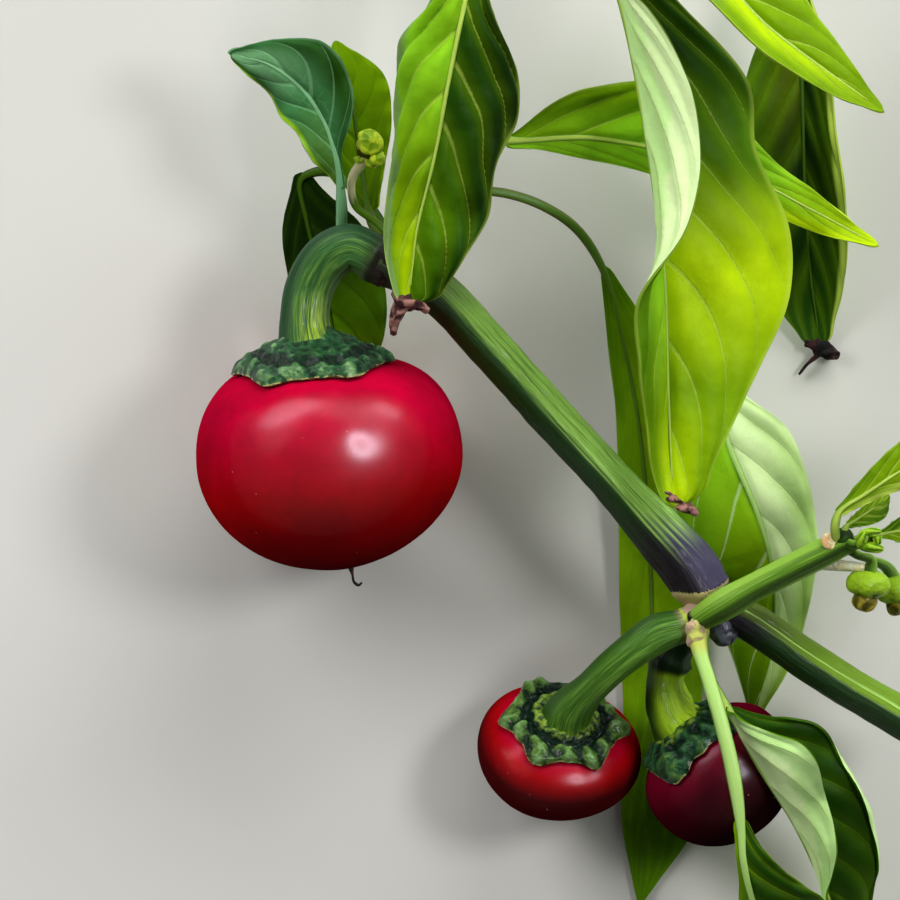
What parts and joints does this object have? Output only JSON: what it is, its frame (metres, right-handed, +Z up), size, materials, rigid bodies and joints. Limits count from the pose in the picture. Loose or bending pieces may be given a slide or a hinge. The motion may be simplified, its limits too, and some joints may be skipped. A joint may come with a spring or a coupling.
{
  "type": "cherry chilli pepper branch",
  "caption": "Cut branch of a cherry-type chilli pepper lying down, with round glossy red fruits on thick green stalks, long drooping leaves and small flower buds.",
  "frame": {"origin": "middle of the branch's outline on the surface it lies on", "axes": "+Z up from the surface, +X towards the cut end of the main stem, +Y towards the growing tip of the upper shoot"},
  "size_m": [0.1024, 0.1532, 0.0443],
  "materials": {
    "stem": "satin, finely ribbed",
    "young_stem": "satin",
    "fruit_skin_red": "glossy",
    "fruit_skin_maroon": "glossy",
    "fruit_stalk": "matte, ribbed",
    "flower_bud": "satin",
    "leaf_yellow_green": "satin",
    "leaf_deep_green": "satin",
    "leaf_pale_green": "matte",
    "leaf_blue_green": "satin"
  },
  "bodies": {
    "root": {"stem_main": "stem", "shoot_upper": "young_stem", "shoot_end": "young_stem", "shoot_side": "young_stem", "fruit_large": "fruit_skin_red", "fruit_left": "fruit_skin_red", "fruit_right": "fruit_skin_maroon", "stalk_large": "fruit_stalk", "stalk_left": "fruit_stalk", "stalk_right": "fruit_stalk", "bud_upper": "flower_bud", "bud_side_left": "flower_bud", "bud_side_right": "flower_bud", "bud_side_green": "flower_bud", "leaf_front_left": "leaf_yellow_green", "leaf_front_right": "leaf_yellow_green", "leaf_top_right": "leaf_yellow_green", "leaf_back_right": "leaf_deep_green", "leaf_crossing": "leaf_yellow_green", "leaf_back_long": "leaf_deep_green", "leaf_back_pale": "leaf_pale_green", "leaf_upper_left": "leaf_blue_green", "leaf_upper_left_back": "leaf_yellow_green", "leaf_behind_stalk": "leaf_deep_green", "leaf_lower_hanging": "leaf_deep_green", "leaf_lower_curled": "leaf_pale_green", "leaf_tip_long": "leaf_yellow_green", "leaflet_tip_pointed": "leaf_yellow_green", "leaflet_tip_right": "leaf_yellow_green", "leaflet_end_left": "leaf_yellow_green", "leaflet_end_right": "leaf_yellow_green"}
  },
  "joints": []
}
